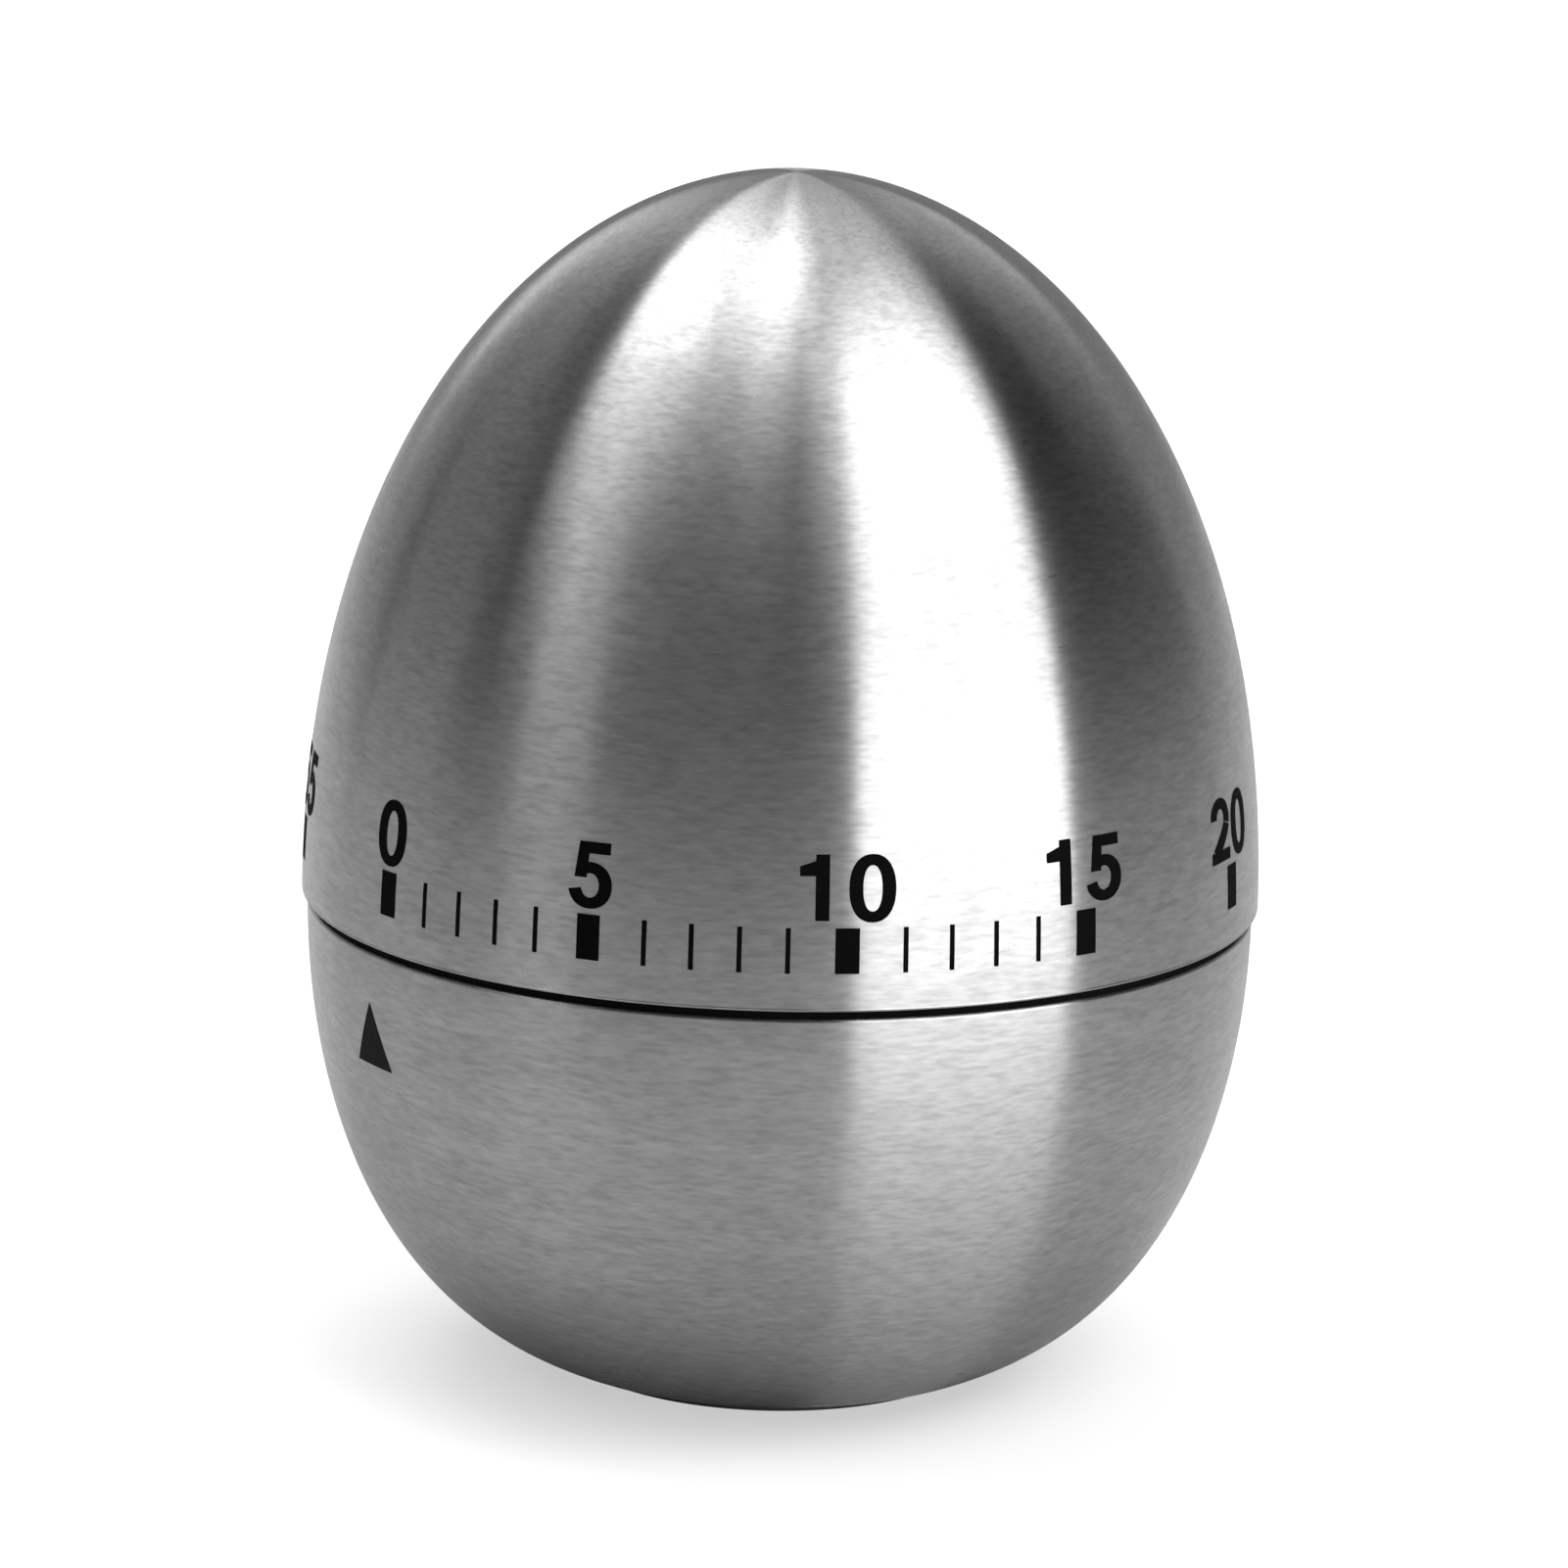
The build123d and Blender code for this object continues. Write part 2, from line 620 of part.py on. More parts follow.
def beaked_arm(centre, offset, reach, low, high):
    """A lever arm that passes the centre at the offset, with a beak that comes to the reach."""
    span = math.dist(HAMMER, centre)
    tilt = math.degrees(math.asin(offset / span))
    length = math.sqrt(span**2 - offset**2)
    direction = heading(HAMMER, centre) - tilt
    corner = step_from(HAMMER, length, direction)
    tip = step_from(corner, offset - reach, direction + 90)
    arm = bar(HAMMER, corner, 1.0, low, high)
    arm += disc(0.5, low, high, corner)
    arm += bar(corner, tip, 0.8, low, high)
    hub = disc(HAMMER_HUB, low, high, HAMMER)
    return arm + hub - disc(HAMMER_ROD, low - 1, high + 1, HAMMER)


def release_arm():
    return beaked_arm(MAIN, CAM_OFFSET, CAM_REACH, *RELEASE_ARM_Z)


def star_tail():
    return beaked_arm(THIRD, STAR_OFFSET, STAR_REACH, *STAR_Z)


def star_wheel():
    """Ten pointed teeth that lift the tail. One gap faces the tail's beak."""
    span = math.dist(HAMMER, THIRD)
    tilt = math.degrees(math.asin(STAR_OFFSET / span))
    beak = heading(HAMMER, THIRD) - tilt - 90
    points = []
    for n in range(STAR_TEETH):
        middle = beak + 360 * (n + 0.5) / STAR_TEETH
        for radius, side in ((STAR[0], -11), (STAR[1], -2), (STAR[1], 2), (STAR[0], 11)):
            points.append(step_from(THIRD, radius, middle + side))
    return plate_shape(points, *STAR_Z) - disc(ARBOR, 15, 17, THIRD)


def head_place():
    """The head's middle with the hammer lifted: it touches the bell when the swing is complete."""
    near = BELL_RADIUS + HEAD_RADIUS + 0.1
    far = HAMMER_PLACE[0]
    turn = math.acos((near**2 + far**2 - HEAD_ARM**2) / (2 * near * far))
    struck = polar(near, HAMMER_PLACE[1] + math.degrees(turn))
    return step_from(HAMMER, HEAD_ARM, heading(HAMMER, struck) - HAMMER_SWING)


def hammer_arm():
    arm = bar(HAMMER, head_place(), 1.1, *HAMMER_ARM_Z) + disc(HAMMER_HUB, *HAMMER_ARM_Z, HAMMER)
    arm += disc(1.0, *HAMMER_ARM_Z, head_place())
    arm -= disc(HAMMER_ROD, 9, 11, HAMMER)
    return arm - disc(0.6, 9, 11, head_place())


def hammer_head():
    low, high = HAMMER_ARM_Z
    head = disc(HEAD_RADIUS, high, HEAD_TOP, head_place())
    return head + disc(0.6, low - 0.2, high, head_place())


def hammer_spring():
    """A leaf spring on a block riveted to the bottom plate. It rests beside the tail."""
    span = math.dist(HAMMER, THIRD)
    tilt = math.degrees(math.asin(STAR_OFFSET / span))
    direction = heading(HAMMER, THIRD) - tilt
    beside = step_from(HAMMER, 0.72, direction - 90)
    block = step_from(beside, 10, direction)
    leaf = bar(step_from(beside, 3.2, direction), block, 0.2, *STAR_Z)
    post = Pos(block[0], block[1], 15.4) * Rot(0, 0, direction) * Box(1.6, 1.6, 2.8)
    return leaf + post


PIECES = {
    "upper_shell": upper_shell,
    "lower_shell": lower_shell,
    "housing": housing,
    "base_plate": base_plate,
    "foot_ring": foot_ring,
    "base_screws": base_screws,
    "dial_liner": dial_liner,
    "bottom_plate": bottom_plate,
    "top_plate": top_plate,
    "pillars": pillars,
    "pillar_screws": pillar_screws,
    "movement_screws": movement_screws,
    "spring_barrel": spring_barrel,
    "mainspring": mainspring,
    "stop_post": stop_post,
    "bell": bell,
    "bell_post": bell_post,
    "bell_screw": bell_screw,
    "main_arbor": main_arbor,
    "main_wheel": main_wheel,
    "clutch_spring": clutch_spring,
    "clutch_collar": clutch_collar,
    "release_cam": release_cam,
    "second_arbor": second_arbor,
    "second_wheel": second_wheel,
    "third_arbor": third_arbor,
    "third_wheel": third_wheel,
    "star_wheel": star_wheel,
    "fourth_arbor": fourth_arbor,
    "fourth_wheel": fourth_wheel,
    "escape_arbor": escape_arbor,
    "escape_wheel": escape_wheel,
    "pallet_arbor": pallet_arbor,
    "pallet_lever": pallet_lever,
    "pallet_pins": pallet_pins,
    "balance_weight": balance_weight,
    "hammer_arbor": hammer_arbor,
    "release_arm": release_arm,
    "star_tail": star_tail,
    "hammer_arm": hammer_arm,
    "hammer_head": hammer_head,
    "hammer_spring": hammer_spring,
}

os.makedirs("parts", exist_ok=True)
for name, make in PIECES.items():
    piece = make()
    if isinstance(piece, list):
        piece = Compound(piece)
    export_step(piece, f"parts/{name}.step")
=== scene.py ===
import json
import math

import bpy
from mathutils import Matrix, Vector


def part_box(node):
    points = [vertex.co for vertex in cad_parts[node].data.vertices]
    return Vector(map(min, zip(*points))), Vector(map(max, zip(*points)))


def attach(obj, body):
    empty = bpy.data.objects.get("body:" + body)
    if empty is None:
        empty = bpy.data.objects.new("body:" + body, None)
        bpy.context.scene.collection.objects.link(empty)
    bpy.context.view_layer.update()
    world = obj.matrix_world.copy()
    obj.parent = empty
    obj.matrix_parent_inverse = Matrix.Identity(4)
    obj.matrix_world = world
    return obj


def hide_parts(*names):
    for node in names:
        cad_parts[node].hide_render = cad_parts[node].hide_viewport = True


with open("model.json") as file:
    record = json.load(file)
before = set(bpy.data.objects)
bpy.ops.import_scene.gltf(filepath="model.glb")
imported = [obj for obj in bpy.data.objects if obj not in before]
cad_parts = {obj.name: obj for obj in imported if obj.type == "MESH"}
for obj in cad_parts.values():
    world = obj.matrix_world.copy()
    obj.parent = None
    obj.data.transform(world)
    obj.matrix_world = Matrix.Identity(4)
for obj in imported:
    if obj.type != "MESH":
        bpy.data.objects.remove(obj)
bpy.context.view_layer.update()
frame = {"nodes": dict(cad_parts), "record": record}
NODES = frame["nodes"]
MM = 0.001

# ---- the egg's outline, in millimetres, set by the CAD boxes ----
UPPER_LOW, UPPER_HIGH = [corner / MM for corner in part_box("upper_shell")]
LOWER_LOW, LOWER_HIGH = [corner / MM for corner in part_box("lower_shell")]
HEIGHT = UPPER_HIGH.z
RADIUS = 30.0
LOWER_RADIUS = 29.64
WAIST = 29.8
BASE_DROP = 0.97
UPPER_POWERS = (2.13, 1.99)  # superellipse powers of the upper curve, height and radius
LOWER_POWERS = (2.06, 3.08)  # the same for the lower curve
BASE_OPENING = 14.2  # radius of the opening under the lower shell
SKIN = 0.5
LIP = 0.18  # radius of the rolled edges
LOOP = 0.03  # a ring of points this close to each roll keeps the wall beside it smooth
AXIS_Z = 36.0  # height that the camera aims at

VIEW_AZIMUTH = 57.4  # the camera's place round the egg, from the pointer mark
DIAL_ZERO = 5.2  # the dial's 0, anticlockwise from the pointer mark


def outline_radius(z):
    """Radius of the outside of the egg at this height, in millimetres."""
    if z >= WAIST:
        share = min((z - WAIST) / (HEIGHT - WAIST), 1)
        return RADIUS * (1 - share ** UPPER_POWERS[0]) ** (1 / UPPER_POWERS[1])
    drop = (WAIST - z) / (WAIST + BASE_DROP)
    return LOWER_RADIUS * (1 - drop ** LOWER_POWERS[0]) ** (1 / LOWER_POWERS[1])


def on_egg(degrees, z, lift=0.0):
    """A point in metres on the egg, at an angle anticlockwise from the pointer mark."""
    angle = math.radians(degrees - 90)
    radius = (outline_radius(z) + lift) * MM
    return Vector((radius * math.cos(angle), radius * math.sin(angle), z * MM))


# ---- meshes ----
def add_mesh(name, points, faces, material):
    mesh = bpy.data.meshes.new(name)
    mesh.from_pydata(points, [], faces)
    mesh.validate()
    mesh.shade_smooth()
    piece = bpy.data.objects.new(name, mesh)
    bpy.context.scene.collection.objects.link(piece)
    piece.data.materials.append(material)
    return piece


def lathe(name, outline, material, segments=360):
    """A closed sheet turned round Z. Its UV map holds turns across and millimetres along."""
    along = [0.0]
    for a, b in zip(outline, outline[1:]):
        along.append(along[-1] + math.dist(a, b))
    count = len(outline)
    points = []
    for n in range(segments):
        angle = 2 * math.pi * n / segments
        for radius, z in outline:
            points.append((radius * MM * math.cos(angle), radius * MM * math.sin(angle), z * MM))
    faces = []
    loops = []
    for n in range(segments):
        here = n * count
        there = (n + 1) % segments * count
        for k in range(count - 1):
            faces.append((here + k, there + k, there + k + 1, here + k + 1))
            left, right = n / segments, (n + 1) / segments
            loops += [(left, along[k]), (right, along[k]), (right, along[k + 1]), (left, along[k + 1])]
    piece = add_mesh(name, points, faces, material)
    layer = piece.data.uv_layers.new(name="brush")
    for corner, place in zip(layer.data, loops):
        corner.uv = place
    return piece


def offset_outline(low, high, inset, count, bunched=False):
    """Points up the egg's outline, moved in square to it by the inset, and bunched at the tip if asked."""
    points = []
    for k in range(count + 1):
        share = math.sin(math.pi / 2 * k / count) if bunched else k / count
        z = low + (high - low) * share
        before = (outline_radius(max(z - 0.01, low - 0.01)), max(z - 0.01, low - 0.01))
        after = (outline_radius(min(z + 0.01, HEIGHT)), min(z + 0.01, HEIGHT))
        along = Vector((after[0] - before[0], after[1] - before[1])).normalized()
        radius = outline_radius(z) - inset * along.y
        points.append((max(radius, 0.0), z + inset * along.x))
    return points


def upper_outline():
    """Outside from the lower edge to the tip, round the rolled edge, and back up the inside."""
    edge = UPPER_LOW.z
    outside = offset_outline(edge + LIP + LOOP, HEIGHT, 0.0, 110, bunched=True)
    outside.insert(0, (outline_radius(edge + LIP), edge + LIP))
    outside[-1] = (0.0, HEIGHT)
    lip = []
    for step in range(9):
        turn = math.pi * step / 8
        side = math.copysign(SKIN / 2 - LIP, math.cos(turn))
        lip.append((RADIUS - SKIN / 2 + side + LIP * math.cos(turn), edge + LIP - LIP * math.sin(turn)))
    inside = offset_outline(edge + 0.2, HEIGHT - SKIN, SKIN, 50, bunched=True)
    inside[-1] = (0.0, inside[-1][1])
    return inside[::-1] + lip[::-1] + outside


def lower_outline():
    """Outside from the base opening to the top edge, with the edge rolled in."""
    top = LOWER_HIGH.z
    low = LOWER_LOW.z
    outside = offset_outline(low, top - LIP - LOOP, 0.0, 90)
    outside.append((outline_radius(top - LIP), top - LIP))
    lip = []
    for step in range(1, 9):
        turn = math.pi * step / 8
        side = math.copysign(SKIN / 2 - LIP, math.cos(turn))
        lip.append((LOWER_RADIUS - SKIN / 2 + side + LIP * math.cos(turn), top - LIP + LIP * math.sin(turn)))
    inside = offset_outline(low + 0.6, top - 0.2, SKIN, 40)
    opening = [(BASE_OPENING, low + 0.3), (BASE_OPENING, low)]
    return [(BASE_OPENING, low)] + outside + lip + inside[::-1] + opening


# ---- materials ----
NOISE_ROUGHNESS = 0.55


class Nodes:
    """A material's node tree, with short names for the few things done to it."""

    def __init__(self, name):
        self.material = bpy.data.materials.new(name)
        self.material.use_nodes = True
        self.tree = self.material.node_tree
        self.shader = self.tree.nodes["Principled BSDF"]

    def add(self, kind, **values):
        node = self.tree.nodes.new("ShaderNode" + kind)
        for key, value in values.items():
            setattr(node, key, value)
        return node

    def link(self, source, target):
        self.tree.links.new(source, target)

    def math(self, operation, first, second=None):
        node = self.add("Math", operation=operation)
        for n, value in enumerate((first, second)):
            if value is None:
                continue
            if isinstance(value, (int, float)):
                node.inputs[n].default_value = value
            else:
                self.link(value, node.inputs[n])
        return node.outputs[0]

    def noise(self, vector, scale, detail):
        node = self.add("TexNoise")
        node.inputs["Scale"].default_value = scale
        node.inputs["Detail"].default_value = detail
        node.inputs["Roughness"].default_value = NOISE_ROUGHNESS
        self.link(vector, node.inputs["Vector"])
        return node.outputs["Fac"]

    def between(self, value, low, high, out_low, out_high):
        node = self.add("MapRange")
        node.inputs["From Min"].default_value = low
        node.inputs["From Max"].default_value = high
        node.inputs["To Min"].default_value = out_low
        node.inputs["To Max"].default_value = out_high
        self.link(value, node.inputs["Value"])
        return node.outputs["Result"]

    def shade(self, value, low, high, dark, light):
        """A colour from dark to light as the value goes from low to high."""
        node = self.add("Mix", data_type="RGBA")
        node.inputs[6].default_value = (*dark, 1)
        node.inputs[7].default_value = (*light, 1)
        self.link(self.between(value, low, high, 0, 1), node.inputs[0])
        return node.outputs[2]

    def bump(self, height, distance):
        node = self.add("Bump")
        node.inputs["Distance"].default_value = distance
        node.inputs["Strength"].default_value = 1.0
        self.link(height, node.inputs["Height"])
        return node.outputs["Normal"]


def brushed_egg(name):
    """Stainless sheet brushed round the axis, whose scratches stretch reflections up and down."""
    m = Nodes(name)
    place = m.add("TexCoord")
    split = m.add("SeparateXYZ")
    m.link(place.outputs["Object"], split.inputs[0])
    flat = m.add("CombineXYZ")
    m.link(split.outputs["X"], flat.inputs["X"])
    m.link(split.outputs["Y"], flat.inputs["Y"])
    ring = m.add("VectorMath", operation="NORMALIZE")
    m.link(flat.outputs[0], ring.inputs[0])
    uv = m.add("UVMap", uv_map="brush")
    along = m.add("SeparateXYZ")
    m.link(uv.outputs["UV"], along.inputs[0])
    distance = along.outputs["Y"]

    def scratches(round_scale, up_scale, detail, seed):
        """Noise stretched round the egg. up_scale is in cycles per millimetre."""
        turned = m.add("VectorMath", operation="SCALE")
        m.link(ring.outputs[0], turned.inputs[0])
        turned.inputs["Scale"].default_value = round_scale
        apart = m.add("SeparateXYZ")
        m.link(turned.outputs[0], apart.inputs[0])
        joined = m.add("CombineXYZ")
        m.link(apart.outputs["X"], joined.inputs["X"])
        m.link(apart.outputs["Y"], joined.inputs["Y"])
        m.link(m.math("ADD", m.math("MULTIPLY", distance, up_scale), seed), joined.inputs["Z"])
        return m.noise(joined.outputs[0], 1.0, detail)

    fine = scratches(24.0, 3.6, 1.5, 3.1)
    medium = scratches(13.0, 1.8, 2.0, 17.7)
    broad = scratches(3.0, 0.5, 2.0, 41.3)
    grain = m.math("ADD", m.math("MULTIPLY", fine, 0.6), m.math("MULTIPLY", medium, 0.4))
    both = m.math("ADD", m.math("MULTIPLY", grain, 0.85), m.math("MULTIPLY", broad, 0.15))
    m.link(m.shade(both, 0.36, 0.64, (0.33, 0.33, 0.335), (0.46, 0.46, 0.46)), m.shader.inputs["Base Color"])
    m.link(m.between(broad, 0.3, 0.7, 0.30, 0.27), m.shader.inputs["Roughness"])
    m.link(m.bump(grain, 0.000002), m.shader.inputs["Normal"])
    m.shader.inputs["Metallic"].default_value = 1.0
    m.shader.inputs["Anisotropic"].default_value = 1.0
    m.shader.inputs["Anisotropic Rotation"].default_value = 0.25
    tangent = m.add("Tangent", direction_type="RADIAL", axis="Z")
    m.link(tangent.outputs[0], m.shader.inputs["Tangent"])
    return m.material


def plastic(name, dark, light, roughness, gloss=0.5):
    m = Nodes(name)
    place = m.add("TexCoord").outputs["Object"]
    coarse = m.noise(place, 900.0, 4.0)
    patches = m.noise(place, 90.0, 3.0)
    m.link(m.shade(patches, 0.35, 0.65, dark, light), m.shader.inputs["Base Color"])
    m.link(m.between(coarse, 0.3, 0.7, roughness - 0.06, roughness + 0.08), m.shader.inputs["Roughness"])
    m.link(m.bump(coarse, 0.00002), m.shader.inputs["Normal"])
    m.shader.inputs["IOR"].default_value = 1.5
    m.shader.inputs["Specular IOR Level"].default_value = gloss
    return m.material


def metal(name, dark, light, roughness, stretch):
    """Sheet or turned metal with fine marks along the direction that the stretch leaves long."""
    m = Nodes(name)
    place = m.add("TexCoord").outputs["Object"]
    mapped = m.add("Mapping")
    mapped.inputs["Scale"].default_value = stretch
    m.link(place, mapped.inputs["Vector"])
    marks = m.noise(mapped.outputs[0], 900.0, 4.0)
    patches = m.noise(place, 160.0, 3.0)
    m.link(m.shade(patches, 0.3, 0.7, dark, light), m.shader.inputs["Base Color"])
    m.link(m.between(marks, 0.3, 0.7, roughness - 0.07, roughness + 0.09), m.shader.inputs["Roughness"])
    m.link(m.bump(marks, 0.000008), m.shader.inputs["Normal"])
    m.shader.inputs["Metallic"].default_value = 1.0
    return m.material


def ink(name, dark, light):
    """Printed ink: near black, slightly uneven, with the brushing just telling through it."""
    m = Nodes(name)
    place = m.add("TexCoord").outputs["Object"]
    mapped = m.add("Mapping")
    mapped.inputs["Scale"].default_value = (1, 1, 12)
    m.link(place, mapped.inputs["Vector"])
    fine = m.noise(mapped.outputs[0], 1600.0, 4.0)
    m.link(m.shade(fine, 0.3, 0.7, dark, light), m.shader.inputs["Base Color"])
    m.link(m.between(fine, 0.3, 0.7, 0.6, 0.8), m.shader.inputs["Roughness"])
    m.link(m.bump(fine, 0.000006), m.shader.inputs["Normal"])
    m.shader.inputs["Specular IOR Level"].default_value = 0.04
    return m.material


STEEL = brushed_egg("brushed_stainless")
INK = ink("dial_ink", (0.0004, 0.0004, 0.0004), (0.0018, 0.0018, 0.0018))
POINTER_INK = ink("pointer_ink", (0.010, 0.010, 0.010), (0.020, 0.020, 0.020))
# The housing is real black plastic, but only its flange shows, in the seam between the shells. It is made
# far darker than the moulded plastic, as painted shade for the shadow in that gap.
SEAM_SHADE_PLASTIC = plastic("black_plastic_with_painted_seam_shade", (0.0006, 0.0006, 0.0006), (0.0018, 0.0018, 0.0018), 0.7, 0.06)
FINISHES = {
    "black_plastic": plastic("black_moulded_plastic", (0.010, 0.010, 0.011), (0.018, 0.018, 0.019), 0.45),
    "rubber": plastic("black_rubber", (0.014, 0.014, 0.014), (0.028, 0.028, 0.027), 0.75),
    "zinc_plate": metal("zinc_plated_sheet", (0.50, 0.51, 0.53), (0.62, 0.63, 0.64), 0.34, (1, 12, 1)),
    "bright_steel": metal("turned_steel", (0.52, 0.52, 0.52), (0.66, 0.66, 0.66), 0.22, (1, 1, 14)),
    "spring_steel": metal("tempered_spring_steel", (0.16, 0.17, 0.21), (0.25, 0.26, 0.31), 0.3, (1, 1, 10)),
    "brass": metal("stamped_brass", (0.66, 0.43, 0.15), (0.80, 0.57, 0.24), 0.28, (1, 9, 1)),
    "nickel": metal("nickel_plate", (0.60, 0.58, 0.54), (0.72, 0.70, 0.66), 0.16, (6, 6, 1)),
}
for entry in frame["record"]["subparts"]:
    if entry["material_slot"] in FINISHES:
        node = NODES[entry["node"]]
        node.data.materials.clear()
        node.data.materials.append(FINISHES[entry["material_slot"]])
# The housing takes the darker plastic: painted shade in the seam between the shells.
NODES["housing"].data.materials[0] = SEAM_SHADE_PLASTIC


# ---- shells ----
def finish_piece(piece, body, slot, *replaced):
    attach(piece, body)
    if replaced:
        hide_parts(*replaced)


upper = lathe("upper_shell_brushed", upper_outline(), STEEL)
finish_piece(upper, "dial", "brushed", "upper_shell")
lower = lathe("lower_shell_brushed", lower_outline(), STEEL)
finish_piece(lower, "case", "brushed", "lower_shell")


# ---- printed marks ----
# Digits are drawn in their own units: 710 is the height of a figure and 556 the step to the next.
def arc(centre, size, start, end, power=2.15, steps=40):
    points = []
    for n in range(steps + 1):
        angle = math.radians(start + (end - start) * n / steps)
        c, s = math.cos(angle), math.sin(angle)
        x = centre[0] + size[0] * math.copysign(abs(c) ** (2 / power), c)
        y = centre[1] + size[1] * math.copysign(abs(s) ** (2 / power), s)
        points.append((x, y))
    return points


def bowl(centre, size, weight, start, end, power=2.15):
    """A curved stroke between an outer and an inner arc."""
    inner = (size[0] - weight[0], size[1] - weight[1])
    return arc(centre, size, start, end, power), arc(centre, inner, start, end, power)


def straight(*corners):
    """A stroke between two straight edges, given as the ends of one edge, then of the other."""
    (a, b), (c, d) = corners[:2], corners[2:]
    steps = 24

    def edge(p, q):
        points = []
        for n in range(steps + 1):
            points.append((p[0] + (q[0] - p[0]) * n / steps, p[1] + (q[1] - p[1]) * n / steps))
        return points
    return edge(a, b), edge(c, d)


def swoop(start, control, end, weight_start, weight_end, steps=24):
    """A stroke that leaves a bowl and straightens, with its weight given square to its run."""
    left, right = [], []
    for n in range(steps + 1):
        t = n / steps
        x = (1 - t) ** 2 * start[0] + 2 * t * (1 - t) * control[0] + t * t * end[0]
        y = (1 - t) ** 2 * start[1] + 2 * t * (1 - t) * control[1] + t * t * end[1]
        dx = 2 * (1 - t) * (control[0] - start[0]) + 2 * t * (end[0] - control[0])
        dy = 2 * (1 - t) * (control[1] - start[1]) + 2 * t * (end[1] - control[1])
        size = math.hypot(dx, dy)
        half = (weight_start + (weight_end - weight_start) * t) / 2
        left.append((x - dy / size * half, y + dx / size * half))
        right.append((x + dy / size * half, y - dx / size * half))
    return left, right


DIGITS = {
    "0": [bowl((278, 345), (250, 367), (148, 120), 0, 360, 2.25)],
    "1": [
        straight((232, 0), (232, 710), (380, 0), (380, 710)),
        ([(66, 478), (232, 478)], [(66, 582), (232, 640)]),
    ],
    "2": [
        bowl((268, 478), (243, 234), (146, 120), 178, -18, 2.1),
        swoop((432, 412), (400, 318), (122, 92), 148, 158),
        straight((24, 0), (513, 0), (24, 130), (513, 130)),
    ],
    "3": [
        bowl((266, 526), (234, 187), (142, 115), 172, -72, 2.1),
        bowl((270, 192), (250, 213), (147, 119), 78, -172, 2.1),
        straight((200, 312), (330, 312), (200, 422), (330, 422)),
    ],
    "4": [
        straight((316, 0), (316, 710), (459, 0), (459, 710)),
        straight((25, 148), (530, 148), (25, 270), (530, 270)),
        straight((25, 270), (296, 710), (158, 270), (316, 536)),
    ],
    "5": [
        bowl((271, 232), (249, 251), (147, 120), 133, -168, 2.1),
        straight((90, 312), (134, 700), (230, 312), (252, 620)),
        straight((120, 574), (488, 574), (137, 700), (488, 700)),
    ],
}
DIGIT_SCALE = 0.00555  # millimetres for each unit
DIGIT_STRETCH = 1.02
BASELINE = 35.74
TICK_LOW, TICK_HIGH = 32.55, 35.30
TICK_WIDTH, FINE_TICK_WIDTH = 1.45, 0.3
FINE_TICKS = (6.75, 12.25, 17.75, 23.25)  # degrees after each of the marks for 0, 5 and 10
INK_LIFT = 0.022
MARK_RADIUS = 29.7  # turns a width on the dial into an angle
DIGIT_STEP = 556


def stroke_mesh(strokes, place, across=4):
    """Points and faces of strokes laid on the egg. place turns a flat point into one on the egg."""
    points, faces = [], []
    for left, right in strokes:
        first = len(points)
        for a, b in zip(left, right):
            for k in range(across + 1):
                share = k / across
                points.append(place(a[0] + (b[0] - a[0]) * share, a[1] + (b[1] - a[1]) * share))
        for n in range(len(left) - 1):
            for k in range(across):
                low = first + n * (across + 1) + k
                faces.append((low, low + 1, low + across + 2, low + across + 1))
    return points, faces


def facing_out(piece):
    """Turns round any face of a printed mark that looks into the egg."""
    mesh = piece.data
    for face in mesh.polygons:
        middle = face.center.copy()
        middle.z = 0
        if face.normal.dot(middle) < 0:
            face.flip()
    mesh.update()


def printed(name, strokes_at, body, material=INK):
    points, faces = [], []
    for strokes, place in strokes_at:
        more, corners = stroke_mesh(strokes, place)
        faces += [tuple(index + len(points) for index in face) for face in corners]
        points += more
    piece = add_mesh(name, points, faces, material)
    facing_out(piece)
    finish_piece(piece, body, "black_plastic")
    return piece


def box_stroke(width, low, high):
    return straight((-width / 2, low), (-width / 2, high), (width / 2, low), (width / 2, high))


def at_angle(degrees):
    """Lays millimetres round the egg at this angle from the pointer mark."""
    def place(x, z):
        return on_egg(degrees + math.degrees(x / MARK_RADIUS), z, INK_LIFT)
    return place


def numeral(text, degrees):
    strokes = []
    for n, digit in enumerate(text):
        for left, right in DIGITS[digit]:
            shift = DIGIT_STEP * n
            strokes.append(([(x + shift, y) for x, y in left], [(x + shift, y) for x, y in right]))
    ends = [x for left, right in strokes for x, _ in left + right]
    middle = (min(ends) + max(ends)) / 2

    def place(x, y):
        turn = math.degrees((x - middle) * DIGIT_SCALE * DIGIT_STRETCH / MARK_RADIUS)
        return on_egg(degrees + turn, BASELINE + y * DIGIT_SCALE, INK_LIFT)
    return strokes, place


marks = []
for five in range(12):
    marks.append(([box_stroke(TICK_WIDTH, TICK_LOW, TICK_HIGH)], at_angle(DIAL_ZERO + 30 * five)))
for five in range(3):
    for offset in FINE_TICKS:
        fine_tick = box_stroke(FINE_TICK_WIDTH, TICK_LOW, TICK_HIGH)
        marks.append(([fine_tick], at_angle(DIAL_ZERO + 30 * five + offset)))
printed("dial_ticks", marks, "dial")
printed("dial_numbers", [numeral(str(5 * n), DIAL_ZERO + 30 * n) for n in range(12)], "dial")
arrow = straight((-1.95, 22.45), (0.1, 26.5), (2.15, 22.45), (0.101, 26.5))
printed("pointer_mark", [([arrow], at_angle(0))], "case", POINTER_INK)


# ---- room ----
LIGHT_AIM = 0.04  # height that every light faces


def around(azimuth, elevation, distance):
    """A place round the egg. Azimuth runs to the right from the camera's own side."""
    a = math.radians(VIEW_AZIMUTH + azimuth)
    e = math.radians(elevation)
    flat = distance * math.cos(e)
    return Vector((math.sin(a) * flat, -math.cos(a) * flat, LIGHT_AIM + distance * math.sin(e)))


